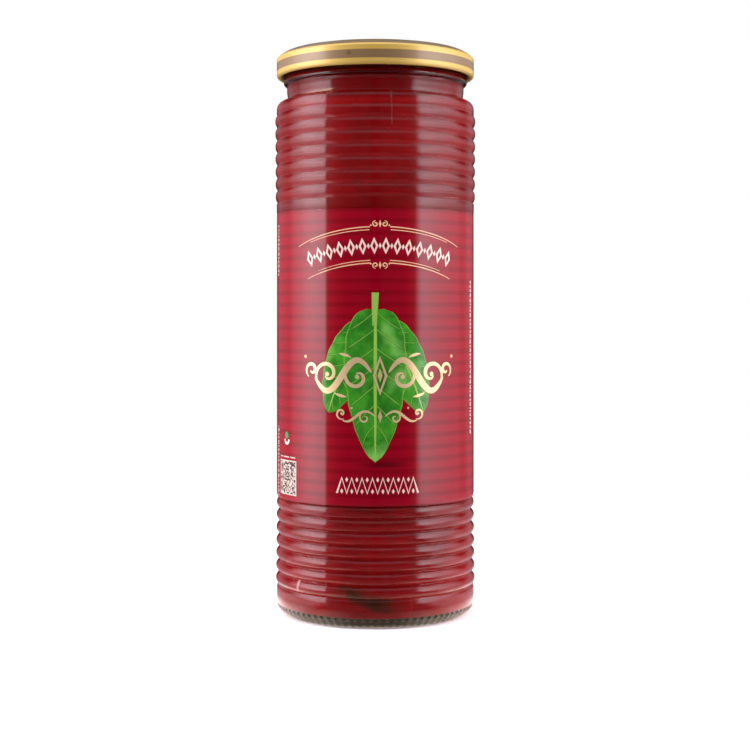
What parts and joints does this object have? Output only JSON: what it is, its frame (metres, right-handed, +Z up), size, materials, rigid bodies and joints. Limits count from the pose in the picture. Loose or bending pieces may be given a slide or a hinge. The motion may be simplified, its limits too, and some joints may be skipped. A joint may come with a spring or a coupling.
{
  "type": "passata bottle",
  "caption": "Tall ribbed glass jar full of tomato passata, shut by a gold twist-off lid, with a red label wrapped round its plain middle.",
  "frame": {"origin": "middle of the base, on the surface that the jar stands on", "axes": "+Z up along the jar's axis; -Y towards the camera of the picture, the front of the label"},
  "size_m": [0.071, 0.071, 0.1977],
  "materials": {
    "glass": "clear polished flint glass",
    "passata": "smooth thick tomato sauce, wet against the glass",
    "lid_gold": "gold lacquered tinplate with a taupe band, satin gloss",
    "label_print": "thin glossy printed film with fine stripes"
  },
  "bodies": {
    "root": {"jar": "glass", "passata": "passata", "lid": "lid_gold", "label": "label_print"}
  },
  "joints": []
}
